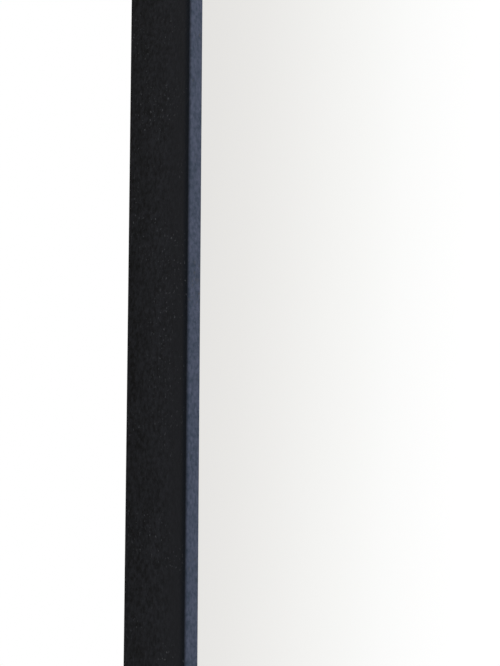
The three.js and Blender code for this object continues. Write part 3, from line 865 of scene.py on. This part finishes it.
# The thread and the head stand on Z: the seat of the head is at 0 and the tip below it
def makeFastening(node, kind, t):
    s = fastenings[kind]
    low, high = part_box(node)
    middle = (low + high) / 2
    aim = Vector(s["aim"])
    if aim.z and middle.z < 0:
        aim = -aim
    extent = high - low
    length = abs(extent.dot(aim))
    radius = max(extent.x, extent.z if aim.y else extent.y) / 2
    head, shank, dome = s["head"] * mm, s["shank"] * mm, s["dome"] * mm
    socket = radius * s["socket"]
    tip = head - length
    rings = [(shank * share, tip + shank * rise) for share, rise in t["tipShares"]]
    if s["pitch"]:
        pitch = s["pitch"] * mm
        depth = pitch * t["threadDepthShare"]
        step = pitch / t["threadSteps"]
        start = tip + shank * t["threadStartShare"]
        count = int((length - head - shank * t["threadEndShare"]) / step)
        rings += [(thread(shank - depth, depth, pitch), start + i * step) for i in range(count)]
        rings.append((shank * t["neckShare"], -t["neck"] * mm))
    else:
        rings += [(shank, tip + shank * t["plainShare"]), (shank, -t["plain"] * mm)]
    ease = t["headEase"] * mm
    rings += [(shank, -t["collar"] * mm), (radius - ease, 0), (radius, ease)]
    for i in range(t["domeSteps"] + 1):
        turn = math.pi / 2 * i / t["domeSteps"]
        rings.append((radius - dome * (1 - math.cos(turn)), head - dome * (1 - math.sin(turn))))
    point, pointHeight = t["pointShares"]
    rings += [
        (hexagon(socket * t["mouthShare"]), head), (hexagon(socket), head - t["mouthEase"] * mm),
        (hexagon(socket), head * t["floorShare"]), (socket * point, head * pointHeight),
    ]
    form = spun(node + "_turned", rings, t["steps"])
    spot = middle + aim * (length / 2 - head)
    form.data.transform(Matrix.Translation(spot) @ aim.to_track_quat("Z", "Y").to_matrix().to_4x4())
    return follow(form, node)


for level in levels:
    for side in ("left", "right"):
        makeFastening(f"{level}_{side}_stile_screw", "corner", turning)
        makeFastening(f"{level}_{side}_rail_screw", "corner", turning)
    for end in ("front", "rear"):
        makeFastening(f"{level}_{end}_carriage_screw", "carriage", turning)
        makeFastening(f"{level}_{end}_bracket_screw", "bracket", turning)
    makeFastening(f"{level}_strike_plate_screw", "strike", turning)
    makeFastening(f"{level}_pivot_pin", "pin", turning)
print("screws and pins turned")


# A flat plate with holes, drawn in XY: its edges are eased all round
def plate(name, outlines, bottom, top, edge, steps=2):
    curve = bpy.data.curves.new(name, "CURVE")
    curve.dimensions = "2D"
    curve.fill_mode = "BOTH"
    curve.extrude = (top - bottom) / 2 - edge
    curve.bevel_depth = edge
    curve.bevel_resolution = steps
    curve.offset = -edge
    for outline in outlines:
        spline = curve.splines.new("POLY")
        spline.points.add(len(outline) - 1)
        spline.use_cyclic_u = True
        for point, (x, y) in zip(spline.points, outline):
            point.co = (x, y, 0, 1)
    drawing = bpy.data.objects.new(name, curve)
    bpy.context.scene.collection.objects.link(drawing)
    seen = drawing.evaluated_get(bpy.context.evaluated_depsgraph_get())
    mesh = bpy.data.meshes.new_from_object(seen)
    mesh.transform(Matrix.Translation((0, 0, (top + bottom) / 2)))
    bpy.data.objects.remove(drawing)
    return finishMesh(bpy.data.objects.new(name, mesh))


def circle(centre, radius, steps=48, start=0.0, end=2 * math.pi):
    count = steps if end - start >= 2 * math.pi else steps + 1
    turns = [start + (end - start) * i / steps for i in range(count)]
    return [(centre[0] + radius * math.cos(t), centre[1] + radius * math.sin(t)) for t in turns]


def tangentAngle(point, centre, radius, side):
    x, y = point[0] - centre[0], point[1] - centre[1]
    return math.atan2(y, x) + side * math.acos(radius / math.hypot(x, y))


# Pivot brackets: a plate on the post's end that narrows to a round eye over the pin
bracketSettings = {
    "edge": 0.6, "corner": 2.2, "cornerSteps": 8, "eyeSteps": 56, "pinRoom": 0.3, "screwHole": 1.9,
}


def makeBracket(level, s):
    node = f"{level}_pivot_bracket"
    low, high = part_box(node)
    postLow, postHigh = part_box("carriage_post")
    pinLow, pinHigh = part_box(f"{level}_pivot_pin")
    centre = (pinLow + pinHigh) / 2
    radius = centre.x - low.x
    corner = s["corner"] * mm
    room = (postHigh.x, postLow.y)
    back = (postLow.x, postHigh.y)
    first = tangentAngle(back, centre, radius, 1)
    last = tangentAngle(room, centre, radius, -1)
    if last < first:
        last += 2 * math.pi
    bend = (postHigh.x - corner, postHigh.y - corner)
    outline = circle(centre, radius, s["eyeSteps"], first, last)
    outline += [room, *circle(bend, corner, s["cornerSteps"], 0, math.pi / 2), back]
    holes = [circle(centre, fastenings["pin"]["shank"] * mm + s["pinRoom"] * mm)]
    for end in ("front", "rear"):
        screwLow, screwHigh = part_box(f"{level}_{end}_bracket_screw")
        holes.append(circle((screwLow + screwHigh) / 2, s["screwHole"] * mm))
    form = plate(node + "_cut", [outline, *holes], low.z, high.z, s["edge"] * mm)
    return follow(form, node)


for level in levels:
    makeBracket(level, bracketSettings)


# A closed outline with its corners rounded, each by its own radius
def rounded(corners, steps=5):
    outline = []
    count = len(corners)
    for i, (x, y, radius) in enumerate(corners):
        here = Vector((x, y))
        before = Vector(corners[i - 1][:2]) - here
        after = Vector(corners[(i + 1) % count][:2]) - here
        half = before.angle(after) / 2
        reach = radius / math.tan(half)
        start = here + before.normalized() * reach
        end = here + after.normalized() * reach
        centre = here + (before.normalized() + after.normalized()).normalized() * (radius / math.sin(half))
        sweep = (end - centre).angle_signed(start - centre)
        for k in range(steps + 1):
            turned = (start - centre).copy()
            turned.rotate(Matrix.Rotation(sweep * k / steps, 2))
            outline.append(tuple(centre + turned))
    return outline


# A section in Y and Z, drawn out along X
def drawnOut(name, section, start, end):
    count = len(section)
    points = [(x, y, z) for x in (start, end) for y, z in section]
    faces = [(i, (i + 1) % count, count + (i + 1) % count, count + i) for i in range(count)]
    faces += [tuple(range(count)), tuple(range(count, 2 * count))]
    return newPiece(name, points, faces)


# Ball cages: a bent strip with a lip round each ball, and the balls themselves. All in mm, but shares are of
# the ball's radius.
cageSettings = {
    "sheet": 0.8, "bend": 1.1, "inside": 0.3, "rim": 0.15, "margin": 8, "perRow": 6, "reach": 0.5,
    "lip": 0.35, "lipHeight": 0.3, "footShare": 0.7, "topShare": 0.97, "mouthShare": 0.8, "lipSteps": 24,
    "ballSteps": (24, 16),
}


def makeCage(node, ballRadius, s):
    low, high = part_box(node)
    middle = (low.z + high.z) / 2
    sheet = s["sheet"] * mm
    radius = ballRadius * mm
    half = (high.z - low.z) / 2 - radius + sheet / 2
    inner = half - sheet
    web, mouth = high.y, low.y
    inside = web - sheet
    bend, fold, rim = s["bend"] * mm, s["inside"] * mm, s["rim"] * mm
    section = rounded([
        (web, middle - half, bend), (web, middle + half, bend), (mouth, middle + half, rim),
        (mouth, middle + inner, rim), (inside, middle + inner, fold), (inside, middle - inner, fold),
        (mouth, middle - inner, rim), (mouth, middle - half, rim),
    ])
    strip = drawnOut(node + "_strip", section, low.x, high.x)
    row = half - sheet / 2
    depth = mouth + s["reach"] * mm + radius
    pitch = (high.x - low.x - 2 * s["margin"] * mm) / (s["perRow"] - 1)
    places = [
        Vector((low.x + s["margin"] * mm + i * pitch, depth, middle + side * row))
        for side in (-1, 1) for i in range(s["perRow"])
    ]
    foot = -sheet / 2
    top = foot - s["lipHeight"] * mm
    lipRings = [
        (radius * s["footShare"], foot), (radius + s["lip"] * mm, foot),
        (radius * s["topShare"], top), (radius * s["mouthShare"], top),
    ]
    form = bmesh.new()
    form.from_mesh(strip.data)
    for place in places:
        lip = spun("lip", lipRings, s["lipSteps"])
        for turn in (0, math.pi):
            copy = lip.data.copy()
            copy.transform(Matrix.Translation(place) @ Matrix.Rotation(turn, 4, "X"))
            form.from_mesh(copy)
        bpy.data.objects.remove(lip)
    form.to_mesh(strip.data)
    form.free()
    follow(strip, node)
    balls = bmesh.new()
    around, across = s["ballSteps"]
    for place in places:
        spot = Matrix.Translation(place)
        bmesh.ops.create_uvsphere(balls, u_segments=around, v_segments=across, radius=radius, matrix=spot)
    mesh = bpy.data.meshes.new(node + "_balls")
    balls.to_mesh(mesh)
    balls.free()
    group = bpy.data.objects.new(node + "_balls", mesh)
    bpy.context.scene.collection.objects.link(group)
    follow(group, node, finish="turned_steel", replaces=False)


ballRadii = {"outer": 1.6, "inner": 1.4}
for level in levels:
    for row, radius in ballRadii.items():
        makeCage(f"{level}_{row}_ball_cage", radius, cageSettings)
print("brackets and cages made")


# Glazing seal: one ring with welded corners behind the frame's lip, in place of four strips
sealSettings = {"lead": 0.15}


def makeSealRing(s):
    sides = ["left_glass_seal", "top_glass_seal", "right_glass_seal", "bottom_glass_seal"]
    boxes = [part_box(side) for side in sides]
    left, right, top, bottom = boxes[0][0].x, boxes[2][1].x, boxes[1][1].z, boxes[3][0].z
    width = boxes[0][1].x - left
    front, back = boxes[0][0].y, boxes[0][1].y
    lead = s["lead"] * mm
    section = [
        (0, back), (0, front + lead), (lead, front),
        (width - lead, front), (width, front + lead), (width, back),
    ]
    corners = [(left, bottom, 1, 1), (right, bottom, -1, 1), (right, top, -1, -1), (left, top, 1, -1)]
    points = [(x + inX * u, y, z + inZ * u) for x, z, inX, inZ in corners for u, y in section]
    count = len(section)
    faces = []
    for corner in range(4):
        here, after = corner * count, (corner + 1) % 4 * count
        for i in range(count):
            j = (i + 1) % count
            faces.append((here + i, here + j, after + j, after + i))
    ring = newPiece("glass_seal_ring", points, faces)
    follow(ring, sides[0])
    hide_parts(*sides)


makeSealRing(sealSettings)


# A form between closed loops of equal length, capped at both ends
def lofted(name, loops):
    count = len(loops[0])
    points = [point for loop in loops for point in loop]
    faces = []
    for ring in range(len(loops) - 1):
        here = ring * count
        for i in range(count):
            j = (i + 1) % count
            faces.append((here + i, here + j, here + count + j, here + count + i))
    faces += [tuple(range(count)), tuple(range(len(points) - count, len(points)))]
    return newPiece(name, points, faces)


leastCorner = 0.05 * mm


# A rounded rectangle in XZ at the depth y
def roundedLoop(low, high, y, inset, radius, steps=6):
    corner = max(radius - inset, leastCorner)
    left, right = low.x + inset + corner, high.x - inset - corner
    bottom, top = low.z + inset + corner, high.z - inset - corner
    loop = []
    for k, (x, z) in enumerate([(right, top), (left, top), (left, bottom), (right, bottom)]):
        for i in range(steps + 1):
            turn = math.pi / 2 * (k + i / steps)
            loop.append((x + corner * math.cos(turn), y, z + corner * math.sin(turn)))
    return loop


# How a round edge goes in and back: quarter turns from the side to the front face
def quarter(radius, steps=5):
    turns = [math.pi / 2 * i / steps for i in range(steps + 1)]
    return [(radius * (1 - math.cos(turn)), radius * (1 - math.sin(turn))) for turn in turns]


# Magnet catch: a moulded housing with a pocket, and in it a ferrite block between two steel pole plates
catchSettings = {
    "corner": 2, "edge": 1.1, "pocketRoom": 0.3, "pocketCorner": 0.7, "pocketEdge": 0.45, "floor": 0.3,
    "plate": 1.2, "blockSetback": 0.4, "blockEdge": 0.3, "plateEdge": 0.2, "smallSteps": 3,
}


def makeCatch(s):
    low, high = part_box("catch_housing")
    magnetLow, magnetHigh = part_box("catch_magnet")
    corner, edge = s["corner"] * mm, s["edge"] * mm
    loops = [roundedLoop(low, high, high.y, 0, corner)]
    loops += [roundedLoop(low, high, low.y + back, inset, corner) for inset, back in quarter(edge)]
    room, rim, bend = s["pocketRoom"] * mm, s["pocketEdge"] * mm, s["pocketCorner"] * mm
    wider = Vector((room, 0, room))
    pocketLow, pocketHigh = magnetLow - wider, magnetHigh + wider
    for inset, back in reversed(quarter(rim)):
        loops.append(roundedLoop(pocketLow, pocketHigh, low.y + back, inset - rim, bend))
    loops.append(roundedLoop(pocketLow, pocketHigh, magnetHigh.y + s["floor"] * mm, 0, bend))
    follow(lofted("catch_housing_moulded", loops), "catch_housing")
    plateWidth = s["plate"] * mm
    between = magnetHigh.x - magnetLow.x - plateWidth
    parts = [
        ("catch_magnet_block", plateWidth, -plateWidth, s["blockSetback"], s["blockEdge"]),
        ("catch_pole_left", 0, -between, 0, s["plateEdge"]),
        ("catch_pole_right", between, 0, 0, s["plateEdge"]),
    ]
    for name, fromLeft, fromRight, setback, ease in parts:
        first, last = magnetLow + Vector((fromLeft, 0, 0)), magnetHigh + Vector((fromRight, 0, 0))
        front, ease = magnetLow.y + setback * mm, ease * mm
        loops = [roundedLoop(first, last, magnetHigh.y, 0, ease)]
        rim = quarter(ease, s["smallSteps"])
        loops += [roundedLoop(first, last, front + back, inset, ease) for inset, back in rim]
        form = lofted(name, loops)
        if name == "catch_magnet_block":
            follow(form, "catch_magnet")
        else:
            follow(form, "catch_magnet", finish="zinc_part", slot="zinc_steel", replaces=False)


makeCatch(catchSettings)
print("seal and catch made")

scene = bpy.context.scene
scene.view_settings.view_transform = "Standard"
